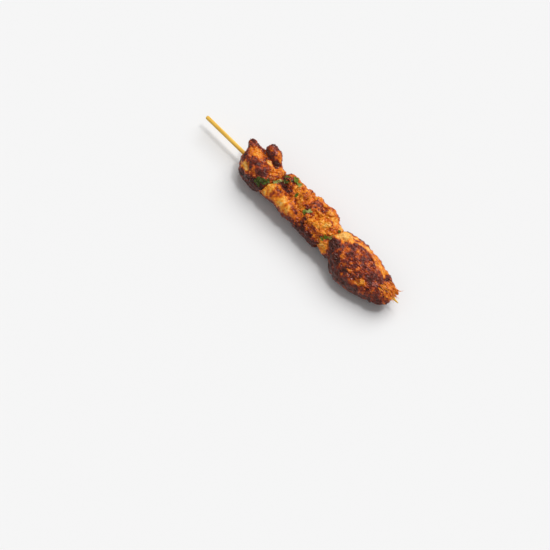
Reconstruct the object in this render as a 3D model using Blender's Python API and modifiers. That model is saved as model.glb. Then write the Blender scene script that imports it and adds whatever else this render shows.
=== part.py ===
"""A grilled chicken skewer, lying down: three pieces of marinated chicken on one bamboo stick.

Units are metres, +Z is up. The stick runs along X, with its blunt handle end at -X and its sharpened
tip at +X. The skewer rests on the undersides of its meat, and the browned show side faces up.
Every piece is drawn in the stick's own coordinates, in millimetres: x from the handle end,
y to the side and z from the stick's axis. At the end an empty moves them all into the object's frame.
"""

import math

import bmesh
import bpy
import numpy as np
from mathutils import Euler, Matrix, Vector, noise

MM = 0.001

# The stick
STICK_LENGTH = 200.0
STICK_RADIUS = 1.5
STICK_SIDES = 20
POINT_LENGTH = 9.0
POINT_RADIUS = 0.45
BUTT_BEVEL = 0.25

# How the meat sits on it
AXIS_HEIGHT = 11.5        # stick's axis above the surface that the skewer lies on
CHANNEL_RADIUS = 1.8      # hole that the stick makes through the meat
CONTACT_GAP = 0.28        # each piece stops this far short of the face it shares with its neighbour
CONTACT_WAVE = 2.2        # height and size of the waves in those faces
CONTACT_WAVE_SIZE = 8.0
CONTACT_SQUEEZE = 2.8     # depth of meat that is squashed where two pieces meet
CHANNEL_SIDES = 20

# How a piece's lobes are melted together
VOXEL = 1.0
SOFTENING = 4
RIPPLE_LONG = 11.0        # wavelengths and heights of the meat's natural unevenness
RIPPLE_LONG_HEIGHT = 1.3
RIPPLE_SHORT = 4.5
RIPPLE_SHORT_HEIGHT = 0.75

# The faces where neighbouring pieces press together: a point on each, and its slant
HEEL_TO_MIDDLE = (Vector((70.8, 0.0, 0.0)), Vector((1.0, -0.24, -0.38)))
MIDDLE_TO_END = (Vector((131.5, 0.0, 0.0)), Vector((1.0, -0.40, -0.30)))

# Triangles in each finished piece
HEEL_FACES = 2300
MIDDLE_FACES = 3500
END_FACES = 2900


def clear_scene():
    for item in list(bpy.data.objects):
        bpy.data.objects.remove(item, do_unlink=True)


def new_collection(name):
    group = bpy.data.collections.new(name)
    bpy.context.scene.collection.children.link(group)
    return group


def new_material(name, colour, roughness):
    finish = bpy.data.materials.new(name)
    finish.use_nodes = True
    shader = finish.node_tree.nodes["Principled BSDF"]
    shader.inputs["Base Color"].default_value = (*colour, 1.0)
    shader.inputs["Roughness"].default_value = roughness
    shader.inputs["Metallic"].default_value = 0.0
    return finish


# --- shaping meat ---------------------------------------------------------------------------------

def lobe(form, at, radii, yaw=0.0, pitch=0.0, roll=0.0):
    """One bulge of muscle: a sphere stretched to its three radii and turned in degrees."""
    turn = Euler([math.radians(angle) for angle in (roll, pitch, yaw)]).to_matrix().to_4x4()
    place = Matrix.Translation(at) @ turn @ Matrix.Diagonal((*radii, 1.0))
    bmesh.ops.create_icosphere(form, subdivisions=3, radius=1.0, matrix=place)


def strand(form, start, end, thick_start, thick_end, beads=5, sag=0.0):
    """A tapering strip of muscle, as a row of overlapping beads that may bow by sag."""
    start = Vector(start)
    end = Vector(end)
    for i in range(beads):
        along = i / (beads - 1)
        centre = start.lerp(end, along) + Vector((0.0, 0.0, sag * math.sin(math.pi * along)))
        radius = thick_start + (thick_end - thick_start) * along
        lobe(form, centre, (radius, radius, radius))


def knuckles(form, bumps):
    """Small round bulges on the show side, each given as x, y, z and radius."""
    for x, y, z, radius in bumps:
        lobe(form, (x, y, z), (radius, radius, radius))


def melt(form, faces):
    """The overlapping lobes as one closed skin, softened and thinned to a number of triangles."""
    rough = bpy.data.meshes.new("rough")
    form.to_mesh(rough)
    form.free()
    carrier = bpy.data.objects.new("carrier", rough)
    bpy.context.scene.collection.objects.link(carrier)
    skin = carrier.modifiers.new("Skin", "REMESH")
    skin.mode = "VOXEL"
    skin.voxel_size = VOXEL
    soft = carrier.modifiers.new("Soften", "SMOOTH")
    soft.factor = 0.5
    soft.iterations = SOFTENING
    dense = evaluated_mesh(carrier)
    triangles = sum(len(polygon.vertices) - 2 for polygon in dense.polygons)
    thin = carrier.modifiers.new("Thin", "DECIMATE")
    thin.ratio = min(1.0, faces / triangles)
    thin.use_collapse_triangulate = True
    body = evaluated_mesh(carrier)
    bpy.data.objects.remove(carrier)
    return body


def evaluated_mesh(item):
    bpy.context.view_layer.update()
    graph = bpy.context.evaluated_depsgraph_get()
    return bpy.data.meshes.new_from_object(item.evaluated_get(graph))


def points_of(mesh):
    flat = np.empty(len(mesh.vertices) * 3, dtype=np.float32)
    mesh.vertices.foreach_get("co", flat)
    return flat.reshape(-1, 3).astype(float)


def set_points(mesh, points):
    mesh.vertices.foreach_set("co", points.astype(np.float32).ravel())
    mesh.update()


def ripple(mesh, points, seed):
    """Low swells and smaller bumps, along the surface's normals."""
    normals = np.array([vertex.normal[:] for vertex in mesh.vertices])
    shift = Vector((seed * 31.7, seed * 17.3, seed * 7.9))
    for i, point in enumerate(points):
        place = Vector(point)
        height = RIPPLE_LONG_HEIGHT * noise.noise(place / RIPPLE_LONG + shift)
        height += RIPPLE_SHORT_HEIGHT * noise.noise(place / RIPPLE_SHORT + shift)
        points[i] += normals[i] * height
    return points


def crease(points, start, end, width, depth):
    """A fold line pressed towards the stick, between two points near the surface."""
    start = np.array(start, dtype=float)
    end = np.array(end, dtype=float)
    run = end - start
    along = np.clip((points - start) @ run / (run @ run), 0.0, 1.0)
    distance = np.linalg.norm(points - (start + along[:, None] * run), axis=1)
    inward = points * np.array([0.0, -1.0, -1.0])
    inward /= np.linalg.norm(inward, axis=1)[:, None] + 1e-9
    push = depth * np.exp(-(distance / width) ** 2)
    return points + inward * push[:, None]


def contact_wave(points):
    """How far the shared faces wander from flat, the same for the pieces on both sides."""
    places = [Vector((0.0, y / CONTACT_WAVE_SIZE, z / CONTACT_WAVE_SIZE)) for _, y, z in points]
    return CONTACT_WAVE * np.array([noise.noise(place) for place in places])


def press(points, face, side):
    """Meat that would pass its neighbour's face is squashed along the stick, into the last few
    millimetres before it."""
    origin, slant = face
    normal = np.array(slant.normalized())
    reach = side * ((points - np.array(origin)) @ normal + contact_wave(points))
    room = CONTACT_SQUEEZE - CONTACT_GAP
    beyond = np.maximum(reach + CONTACT_SQUEEZE, 0.0)
    squashed = room * (1.0 - np.exp(-beyond / room)) - CONTACT_SQUEEZE
    change = np.where(beyond > 0.0, squashed - reach, 0.0)
    points[:, 0] += side * change / normal[0]
    return points


def rest_flat(points):
    """The underside is flat where it lies on the surface."""
    points[:, 2] = np.maximum(points[:, 2], -AXIS_HEIGHT)
    return points


def finish_piece(name, body, points, finish, group, frame):
    """The shaped mesh as a named object in metres, with the stick's channel cut through it."""
    set_points(body, points * MM)
    for polygon in body.polygons:
        polygon.use_smooth = True
    body.materials.clear()
    body.materials.append(finish)
    body.name = name
    piece = bpy.data.objects.new(name, body)
    group.objects.link(piece)
    piece.parent = frame
    cut = piece.modifiers.new("Channel", "BOOLEAN")
    cut.operation = "DIFFERENCE"
    cut.solver = "EXACT"
    cut.object = bpy.data.objects["channel_cutter"]
    return piece


# --- the three pieces of chicken -------------------------------------------------------------------

def make_heel(finish, group, frame):
    """The folded piece next to the handle, with two curled ears standing out of one side."""
    form = bmesh.new()
    lobe(form, (56.5, -3.0, -0.3), (15.5, 11.4, 11.6), yaw=-6)
    lobe(form, (47.5, -0.5, 0.5), (8.0, 9.2, 9.6), yaw=18)
    lobe(form, (67.5, -1.2, 0.0), (14.0, 12.6, 11.6), yaw=6)
    lobe(form, (46.5, 5.5, 2.5), (6.5, 6.0, 5.5), yaw=20)
    lobe(form, (51.0, -8.5, -1.0), (9.0, 4.0, 7.5), yaw=-34)
    strand(form, (45.5, 6.0, 3.5), (39.6, 8.2, 5.2), 4.8, 3.4, beads=4)
    strand(form, (59.0, 7.0, 5.0), (56.5, 11.2, 7.2), 4.8, 3.6, beads=4)
    strand(form, (63.0, 7.4, 4.0), (59.0, 12.0, 7.0), 5.8, 4.9, beads=4)
    strand(form, (59.0, 12.0, 7.0), (53.4, 13.8, 8.4), 4.9, 3.6, beads=4)
    knuckles(form, [(53.0, -2.5, 9.4, 3.6), (60.5, -4.5, 9.2, 4.0), (67.0, 1.0, 9.4, 3.4)])
    body = melt(form, HEEL_FACES)
    points = ripple(body, points_of(body), seed=1)
    points = crease(points, (42.0, -7.5, 6.0), (56.0, -11.5, 4.5), 1.8, 1.7)
    points = crease(points, (44.0, 4.0, 9.5), (62.0, 5.0, 11.0), 2.2, 1.9)
    points = crease(points, (64.0, 9.5, 6.0), (70.0, 2.0, 11.0), 2.0, 1.2)
    points = press(points, HEEL_TO_MIDDLE, 1.0)
    finish_piece("heel_piece", body, rest_flat(points), finish, group, frame)


def make_middle(finish, group, frame):
    """The long piece in the middle: a smooth strip along its near side, a torn and bunched top,
    and two glazed knuckles on its far shoulder."""
    form = bmesh.new()
    strand(form, (68.0, -6.2, 1.5), (104.0, -7.2, 1.5), 6.8, 6.8, beads=9, sag=1.2)
    lobe(form, (79.0, 0.6, 0.0), (16.0, 12.2, 11.3), yaw=4)
    lobe(form, (95.0, 1.4, 0.0), (16.0, 12.6, 11.4), yaw=2)
    lobe(form, (110.0, 0.8, 0.0), (15.0, 13.2, 11.4), yaw=-6)
    lobe(form, (124.5, -1.0, 0.0), (15.0, 13.0, 11.6), yaw=-4)
    lobe(form, (80.5, 7.4, 5.0), (6.5, 5.4, 5.0), yaw=25)
    lobe(form, (96.5, 7.2, 3.0), (7.0, 7.0, 7.0))
    lobe(form, (88.5, 8.8, 3.0), (5.0, 4.8, 5.2))
    lobe(form, (106.5, 9.6, 3.0), (7.0, 5.0, 5.8), yaw=-10)
    lobe(form, (117.5, 10.4, 2.5), (9.5, 5.0, 6.0), yaw=-6)
    lobe(form, (117.5, -7.2, -1.0), (15.5, 6.2, 8.6), yaw=1)
    knuckles(form, [(79.0, 6.0, 8.2, 3.8), (84.5, 2.8, 9.6, 3.4), (91.0, 7.0, 8.0, 3.6)])
    knuckles(form, [(97.0, 5.5, 9.0, 4.0), (101.0, -2.0, 9.4, 3.6), (107.5, 7.4, 7.2, 4.4)])
    knuckles(form, [(113.5, 4.2, 9.0, 4.2), (119.5, 8.2, 6.8, 4.0), (125.5, 2.0, 9.4, 3.8)])
    knuckles(form, [(120.0, -3.8, 9.2, 4.2), (127.0, -5.5, 7.8, 4.0), (111.0, -5.0, 8.0, 4.2)])
    body = melt(form, MIDDLE_FACES)
    points = ripple(body, points_of(body), seed=2)
    points = crease(points, (74.0, -1.6, 11.0), (104.0, -3.0, 11.0), 2.0, 2.2)
    points = crease(points, (93.0, 12.0, 6.0), (92.0, -1.0, 11.0), 1.8, 1.7)
    points = crease(points, (82.0, 1.0, 11.0), (87.0, 11.0, 7.0), 1.6, 1.3)
    points = crease(points, (101.0, 11.5, 7.0), (105.0, 1.0, 11.5), 1.9, 2.0)
    points = crease(points, (105.0, 1.0, 11.5), (108.5, -12.5, 3.0), 1.9, 1.7)
    points = crease(points, (111.0, 11.0, 8.0), (116.5, -3.0, 11.0), 1.7, 1.7)
    points = crease(points, (118.0, 5.5, 10.5), (129.0, 4.5, 10.0), 1.8, 1.4)
    points = press(points, HEEL_TO_MIDDLE, -1.0)
    points = press(points, MIDDLE_TO_END, 1.0)
    finish_piece("middle_piece", body, rest_flat(points), finish, group, frame)


def make_end(finish, group, frame):
    """The long crusted piece at the tip, with a fatty rim along one side."""
    form = bmesh.new()
    lobe(form, (160.0, -2.8, 0.3), (29.0, 14.8, 12.4), yaw=-2)
    lobe(form, (151.5, -2.0, 5.0), (17.5, 11.5, 8.0))
    lobe(form, (162.0, -10.8, -2.0), (21.0, 8.2, 9.4), yaw=4)
    lobe(form, (139.0, -1.0, 0.5), (15.0, 12.6, 11.5))
    lobe(form, (182.5, -3.6, -0.5), (12.0, 9.2, 9.2), yaw=3)
    lobe(form, (130.5, -7.4, 4.0), (5.4, 5.2, 5.0))
    strand(form, (135.0, 8.2, 0.5), (153.0, 12.0, -0.5), 4.2, 3.7, beads=5)
    strand(form, (153.0, 12.0, -0.5), (181.5, 8.0, 0.0), 3.7, 3.1, beads=7)
    strand(form, (179.0, 7.2, 1.6), (194.0, 4.2, 1.5), 3.3, 2.1, beads=7)
    knuckles(form, [(139.5, -3.0, 9.0, 4.0), (147.5, -10.0, 6.8, 4.4)])
    knuckles(form, [(150.0, 4.0, 9.6, 4.0), (172.0, -7.0, 6.8, 4.4)])
    body = melt(form, END_FACES)
    points = ripple(body, points_of(body), seed=4)
    points = crease(points, (137.0, 6.6, 8.6), (180.0, 6.4, 6.4), 1.9, 1.7)
    points = crease(points, (133.5, -6.0, 9.0), (137.5, -13.0, -2.0), 1.6, 1.6)
    points = press(points, MIDDLE_TO_END, -1.0)
    finish_piece("end_piece", body, rest_flat(points), finish, group, frame)


# --- the stick --------------------------------------------------------------------------------------

def make_stick(finish, group, frame):
    """A turned bamboo stick: a profile from the butt to the point, spun about its own axis."""
    profile = [
        (0.0, 0.0),
        (STICK_RADIUS - BUTT_BEVEL, 0.0),
        (STICK_RADIUS, BUTT_BEVEL),
        (STICK_RADIUS, STICK_LENGTH - POINT_LENGTH),
        (POINT_RADIUS, STICK_LENGTH - 0.3),
        (POINT_RADIUS * 0.5, STICK_LENGTH),
        (0.0, STICK_LENGTH),
    ]
    form = bmesh.new()
    corners = [form.verts.new((radius * MM, 0.0, height * MM)) for radius, height in reversed(profile)]
    for first, second in zip(corners, corners[1:]):
        form.edges.new((first, second))
    mesh = bpy.data.meshes.new("bamboo_stick")
    form.to_mesh(mesh)
    form.free()
    mesh.materials.append(finish)
    stick = bpy.data.objects.new("bamboo_stick", mesh)
    group.objects.link(stick)
    turn = stick.modifiers.new("Turn", "SCREW")
    turn.steps = STICK_SIDES
    turn.render_steps = STICK_SIDES
    turn.use_merge_vertices = True
    turn.merge_threshold = 0.00001
    stick.rotation_euler = (0.0, math.radians(90.0), 0.0)
    stick.parent = frame


def make_channel_cutter(cutters, frame):
    """The straight hole through the meat: the stick's path with a little clearance."""
    form = bmesh.new()
    along = Matrix.Translation((STICK_LENGTH / 2 * MM, 0.0, 0.0)) @ Matrix.Rotation(math.radians(90.0), 4, "Y")
    bmesh.ops.create_cone(
        form,
        cap_ends=True,
        segments=CHANNEL_SIDES,
        radius1=CHANNEL_RADIUS * MM,
        radius2=CHANNEL_RADIUS * MM,
        depth=(STICK_LENGTH + 20.0) * MM,
        matrix=along,
    )
    mesh = bpy.data.meshes.new("channel_cutter")
    form.to_mesh(mesh)
    form.free()
    cutter = bpy.data.objects.new("channel_cutter", mesh)
    cutters.objects.link(cutter)
    cutter.hide_render = True
    cutter.display_type = "WIRE"
    cutter.parent = frame


def centre_frame(group, frame):
    """Moves the parent empty so that the box around everything stands centred on the origin."""
    bpy.context.view_layer.update()
    graph = bpy.context.evaluated_depsgraph_get()
    corners = []
    for item in group.objects:
        if item.type == "MESH":
            solid = item.evaluated_get(graph)
            corners += [solid.matrix_world @ vertex.co for vertex in solid.data.vertices]
    spans = [[corner[axis] for corner in corners] for axis in range(3)]
    middle_x, middle_y = [(min(span) + max(span)) / 2 for span in spans[:2]]
    frame.location = (-middle_x, -middle_y, -min(spans[2]))
    bpy.context.view_layer.update()


def main():
    clear_scene()
    group = new_collection("chicken_skewer")
    cutters = new_collection("cutters")
    frame = bpy.data.objects.new("skewer_frame", None)
    group.objects.link(frame)
    bamboo = new_material("bamboo", (0.72, 0.46, 0.14), 0.55)
    folded = new_material("glazed_meat", (0.30, 0.09, 0.04), 0.35)
    golden = new_material("golden_meat", (0.60, 0.24, 0.05), 0.40)
    crusted = new_material("crusted_meat", (0.24, 0.07, 0.04), 0.45)
    make_channel_cutter(cutters, frame)
    make_stick(bamboo, group, frame)
    make_heel(folded, group, frame)
    make_middle(golden, group, frame)
    make_end(crusted, group, frame)
    centre_frame(group, frame)


main()
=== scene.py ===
# %% [markdown]
# # A grilled chicken skewer
# The real thing is a bamboo stick with three pieces of marinated chicken pushed onto it, grilled until
# the high spots char and the folds stay golden, then scattered with chopped parsley. The stick and the
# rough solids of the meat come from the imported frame, in metres. This lesson gives each of them the
# surface that a cook would know: fibres, cracks, crust, fat and glaze, first as real relief in the mesh
# and only then as colour. Sizes are written in millimetres, because that is how food is measured.

# %% Load the frame
import math

import bmesh
import bpy
import numpy as np
from mathutils import Matrix, Vector, noise
from mathutils.bvhtree import BVHTree


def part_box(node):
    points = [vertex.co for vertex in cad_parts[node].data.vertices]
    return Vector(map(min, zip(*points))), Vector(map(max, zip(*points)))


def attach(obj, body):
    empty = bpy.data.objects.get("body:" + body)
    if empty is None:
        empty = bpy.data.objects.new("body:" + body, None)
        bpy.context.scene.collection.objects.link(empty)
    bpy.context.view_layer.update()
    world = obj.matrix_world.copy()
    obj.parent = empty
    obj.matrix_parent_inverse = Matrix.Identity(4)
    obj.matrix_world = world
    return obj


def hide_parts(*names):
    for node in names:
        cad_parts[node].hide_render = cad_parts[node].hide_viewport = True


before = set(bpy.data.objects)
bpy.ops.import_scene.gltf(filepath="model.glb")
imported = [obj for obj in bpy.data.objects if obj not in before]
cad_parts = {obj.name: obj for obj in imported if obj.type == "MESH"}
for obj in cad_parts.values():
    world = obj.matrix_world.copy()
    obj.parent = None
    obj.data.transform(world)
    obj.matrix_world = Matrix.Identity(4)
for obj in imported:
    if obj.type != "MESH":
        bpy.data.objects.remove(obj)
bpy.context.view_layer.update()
MM = 0.001
stick_low, stick_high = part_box("bamboo_stick")
STICK_LENGTH = (stick_high.x - stick_low.x) / MM
STICK_RADIUS = (stick_high.z - stick_low.z) / 2 / MM
STICK_MIDDLE = (stick_low + stick_high) / 2
AXIS_Y = STICK_MIDDLE.y / MM
AXIS_Z = STICK_MIDDLE.z / MM
print("stick", round(STICK_LENGTH, 1), "mm long, axis", round(AXIS_Z, 2), "mm above the surface")

# %% [markdown]
# ## Where the camera stands
# The skewer lies down, so the camera looks down on it, steeply, from its near side and its tip end. A very
# long lens from far away keeps the stick free of perspective, so that lengths along it can be compared.
# The camera is aimed a little to one side, so that the skewer sits above and right of the middle of the
# picture.

# %% Camera
CAMERA_AZIMUTH = math.radians(47.954)
CAMERA_ELEVATION = math.radians(62.0)
CAMERA_LENS = 600.0
CAMERA_DISTANCE = 6.4385
AIM_RIGHT = 0.018952
AIM_UP = 0.046008

view_right = Vector((math.cos(CAMERA_AZIMUTH), math.sin(CAMERA_AZIMUTH), 0.0))
view_back = Vector((
    math.sin(CAMERA_AZIMUTH) * math.cos(CAMERA_ELEVATION),
    -math.cos(CAMERA_AZIMUTH) * math.cos(CAMERA_ELEVATION),
    math.sin(CAMERA_ELEVATION),
))
view_up = view_back.cross(view_right)
aim = STICK_MIDDLE - view_right * AIM_RIGHT - view_up * AIM_UP
camera_data = bpy.data.cameras.new("camera")
camera_data.lens = CAMERA_LENS
camera = bpy.data.objects.new("camera", camera_data)
camera.location = aim + view_back * CAMERA_DISTANCE
camera.rotation_mode = "QUATERNION"
camera.rotation_quaternion = view_back.to_track_quat("Z", "Y")
bpy.context.scene.collection.objects.link(camera)
bpy.context.scene.camera = camera
print("camera", [round(c, 3) for c in camera.location])

# %% [markdown]
# ## Noise as a measuring tool
# Meat is uneven at every size: swells as wide as a finger, bundles of fibre as wide as a match, grains
# of crust as fine as sand. One noise function that takes the size of the bumps in millimetres covers
# them all. Stretching it along a direction turns round bumps into fibres. It is worked out for each
# point of the mesh, and not in the shader, so that the shape itself gets it.

# %% Noise fields
def seed_shift(seed):
    return np.array([seed * 13.71, seed * 7.33, seed * 3.19])


def field(points, size, seed, octaves=3, stretch=1.0, angle=0.0):
    """Fractal noise of about -1 to 1 at each point, with bumps of a size, drawn out along an angle."""
    turn = math.radians(angle)
    along = np.array([math.cos(turn), math.sin(turn), 0.0])
    across = np.array([-math.sin(turn), math.cos(turn), 0.0])
    local = np.stack([points @ along / stretch, points @ across, points[:, 2]], axis=1)
    local = local / size + seed_shift(seed)
    return np.array([noise.fractal(Vector(p), 0.9, 2.1, octaves) for p in local.tolist()])


def grains(points, size, seed):
    """Rounded grains packed together, high in the middle of each grain."""
    local = points / size + seed_shift(seed)
    cells = [noise.noise(Vector(p), noise_basis="VORONOI_F1") for p in local.tolist()]
    return 1.0 - np.clip(np.array(cells) * 0.5 + 0.5, 0.0, 1.0)


def smooth_step(low, high, values):
    t = np.clip((values - low) / (high - low), 0.0, 1.0)
    return t * t * (3.0 - 2.0 * t)


def ridged(values, sharpness=2.0):
    """Turns a noise into narrow valleys between rounded ridges."""
    return 1.0 - (1.0 - np.clip(np.abs(values) * 2.2, 0.0, 1.0)) ** sharpness


def patch(points, centre, radii, turn=0.0, soft=0.35, ragged=0.3, seed=5):
    """How much of an uneven patch lies at each point: 1 inside, fading to 0 at its torn edge."""
    angle = math.radians(turn)
    rel = points - np.array(centre)
    along = rel[:, 0] * math.cos(angle) + rel[:, 1] * math.sin(angle)
    across = -rel[:, 0] * math.sin(angle) + rel[:, 1] * math.cos(angle)
    reach = np.sqrt((along / radii[0]) ** 2 + (across / radii[1]) ** 2 + (rel[:, 2] / radii[2]) ** 2)
    near = reach < 1.0 + soft + 2.0 * ragged
    reach[near] += ragged * field(points[near], 2.2, seed)
    return 1.0 - smooth_step(1.0 - soft, 1.0 + soft, reach)


def line_distance(points, path):
    """Distance of each point from a path of straight runs."""
    nearest = np.full(len(points), 1e9)
    for start, end in zip(path, path[1:]):
        start = np.array(start, dtype=float)
        run = np.array(end, dtype=float) - start
        along = np.clip((points - start) @ run / (run @ run), 0.0, 1.0)
        nearest = np.minimum(nearest, np.linalg.norm(points - (start + along[:, None] * run), axis=1))
    return nearest


sample = field(np.random.default_rng(1).uniform(-20, 20, (400, 3)), 3.0, 1)
print("noise spans", round(float(sample.min()), 2), "to", round(float(sample.max()), 2))

# %% [markdown]
# ## A fine copy of each rough solid
# The solids from the frame have the right shape but only a few thousand triangles each. A copy is
# rounded off with Subdivision Surface and then given an even skin of small squares with a voxel Remesh,
# 0.3 mm each. An even skin matters more than a smooth one: the relief that comes next needs points
# everywhere.

# %% Fine skin
FINE_VOXEL = 0.30


def mesh_points(mesh):
    flat = np.empty(len(mesh.vertices) * 3, dtype=np.float32)
    mesh.vertices.foreach_get("co", flat)
    return flat.reshape(-1, 3).astype(float) / MM


def mesh_normals(mesh):
    flat = np.empty(len(mesh.vertices) * 3, dtype=np.float32)
    mesh.vertex_normals.foreach_get("vector", flat)
    return flat.reshape(-1, 3).astype(float)


def move_points(mesh, points):
    mesh.vertices.foreach_set("co", (points * MM).astype(np.float32).ravel())
    mesh.update()


def evaluated_copy(item):
    bpy.context.view_layer.update()
    graph = bpy.context.evaluated_depsgraph_get()
    return bpy.data.meshes.new_from_object(item.evaluated_get(graph))


def welded_copy(node):
    """The node's mesh with its split corners joined again, so that it can be rounded off."""
    form = bmesh.new()
    form.from_mesh(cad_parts[node].data)
    bmesh.ops.remove_doubles(form, verts=form.verts, dist=0.00001)
    mesh = bpy.data.meshes.new(node + "_rough")
    form.to_mesh(mesh)
    form.free()
    return mesh


def fine_skin(node, voxel, soften):
    carrier = bpy.data.objects.new(node + "_carrier", welded_copy(node))
    bpy.context.scene.collection.objects.link(carrier)
    rounding = carrier.modifiers.new("Rounding", "SUBSURF")
    rounding.levels = 2
    rounding.render_levels = 2
    skin = carrier.modifiers.new("Skin", "REMESH")
    skin.mode = "VOXEL"
    skin.voxel_size = voxel * MM
    soft = carrier.modifiers.new("Soften", "SMOOTH")
    soft.factor = 0.5
    soft.iterations = soften
    mesh = evaluated_copy(carrier)
    bpy.data.objects.remove(carrier)
    return mesh


def set_field(mesh, name, values):
    """Stores a number for each point, which the material reads by name."""
    attribute = mesh.attributes.new(name, "FLOAT", "POINT")
    attribute.data.foreach_set("value", values.astype(np.float32))


voxel = FINE_VOXEL
print("skin of", voxel, "mm squares")

# %% [markdown]
# ## How grilled chicken breaks up
# Chicken muscle is bundles of fibre. Heat shrinks them, so the surface pulls into swells with cracks
# between, and fine threads show on the torn parts. Where the marinade dries it bakes into a grainy
# crust. Each of these is one layer of height, and each layer has its own share in each piece. The layers
# stay separate so that colour can use them later: cracks hold glaze and are darkened as painted crease
# shade, grains char first.

# %% Relief of the meat
SWELL_SIZE = 5.2
LEDGE_SIZE = 5.0
BUNDLE_SIZE = 2.3
THREAD_SIZE = 0.75
GRAIN_SIZE = 1.55
CRACK_SIZE = 5.5


def ledges(values):
    """Torn layers that overlap like shingles: a slow rise, then a sudden drop."""
    place = values * 3.0
    within = place - np.floor(place)
    return within - smooth_step(0.80, 1.0, within)


def relief_layers(points, grain_angle, seed):
    warp = np.stack([field(points, 6.0, seed + 20 + k, 2) for k in range(3)], axis=1)
    bent = points + warp * 2.0
    crack_noise = field(bent, CRACK_SIZE, seed + 5, 3, stretch=1.8, angle=grain_angle)
    return {
        "swells": field(bent, SWELL_SIZE, seed, 2),
        "ledges": ledges(field(bent, LEDGE_SIZE, seed + 6, 2, stretch=1.7, angle=grain_angle)),
        "bundles": ridged(field(bent, BUNDLE_SIZE, seed + 1, 2, stretch=3.2, angle=grain_angle)),
        "threads": field(bent, THREAD_SIZE, seed + 2, 2, stretch=4.0, angle=grain_angle),
        "grains": grains(points + warp * 0.5, GRAIN_SIZE, seed + 3),
        "fine": field(points, 0.9, seed + 4, 3),
        "cracks": (1.0 - np.clip(np.abs(crack_noise) * 3.6, 0.0, 1.0)) ** 2.5,
    }


def press_folds(points, folds):
    """Deep lines where the strip is folded on itself, as a depth at each point."""
    depth = np.zeros(len(points))
    for path, width, deep in folds:
        depth += deep * np.exp(-(line_distance(points, path) / width) ** 2)
    return depth


print("swells", SWELL_SIZE, "mm, bundles", BUNDLE_SIZE, "mm, grains", GRAIN_SIZE, "mm")

# %% [markdown]
# ## Cooking the meat
# Browning is one number from 0, pale fat, to 1, black char. Each piece starts from its own even
# browning, and patches push it up or down: a golden fold, a seared edge, a burnt knob, and a long dark
# band along the near, lower side, which is painted shade. The lower part of each piece is also darkened
# all over as painted shade. Grains of crust brown more than the gaps between them, which ties the
# colour to the relief.

# %% Browning
# Painted shade: the lower part of each piece is pulled towards this dark browning.
UNDERSIDE_PAINTED_SHADE = 0.82
JOIN_SWELL = 0.42         # soft meat bulges this far into the narrow gap that the solids leave
GRAIN_HEIGHT = 0.50
FINE_HEIGHT = 0.11
FOLD_DEPTH = 1.25         # how deep a fold is pressed, for each millimetre given in a piece's folds
DEEPEST_DENT = -2.8


def cook(points, layers, base, patches, seed):
    """The browning at each point: the piece's own level, its patches, painted shade low on the piece, then
    blotches and flecks.
    """
    level = np.full(len(points), base)
    for number, (centre, radii, turn, value, strength) in enumerate(patches):
        weight = strength * patch(points, centre, radii, turn, seed=seed + 30 + number)
        level = level * (1.0 - weight) + value * weight
    # Painted shade: points low on each piece are darkened towards a deep brown.
    painted_shade_below = smooth_step(14.5, 7.0, points[:, 2])
    level = level + (UNDERSIDE_PAINTED_SHADE - level) * 0.80 * painted_shade_below
    blotches = 0.16 * field(points, 5.5, seed + 8, 2) + 0.32 * field(points, 2.9, seed + 9, 2)
    browning = level + blotches * (0.55 + 0.75 * level)
    dark_flecks = smooth_step(0.42, 0.62, field(points, 2.2, seed + 11, 2))
    pale_flecks = smooth_step(0.40, 0.66, field(points, 2.6, seed + 12, 2))
    browning += 0.30 * dark_flecks * smooth_step(0.10, 0.35, level)
    browning -= 0.18 * pale_flecks * smooth_step(0.30, 0.60, level)
    return browning


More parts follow.
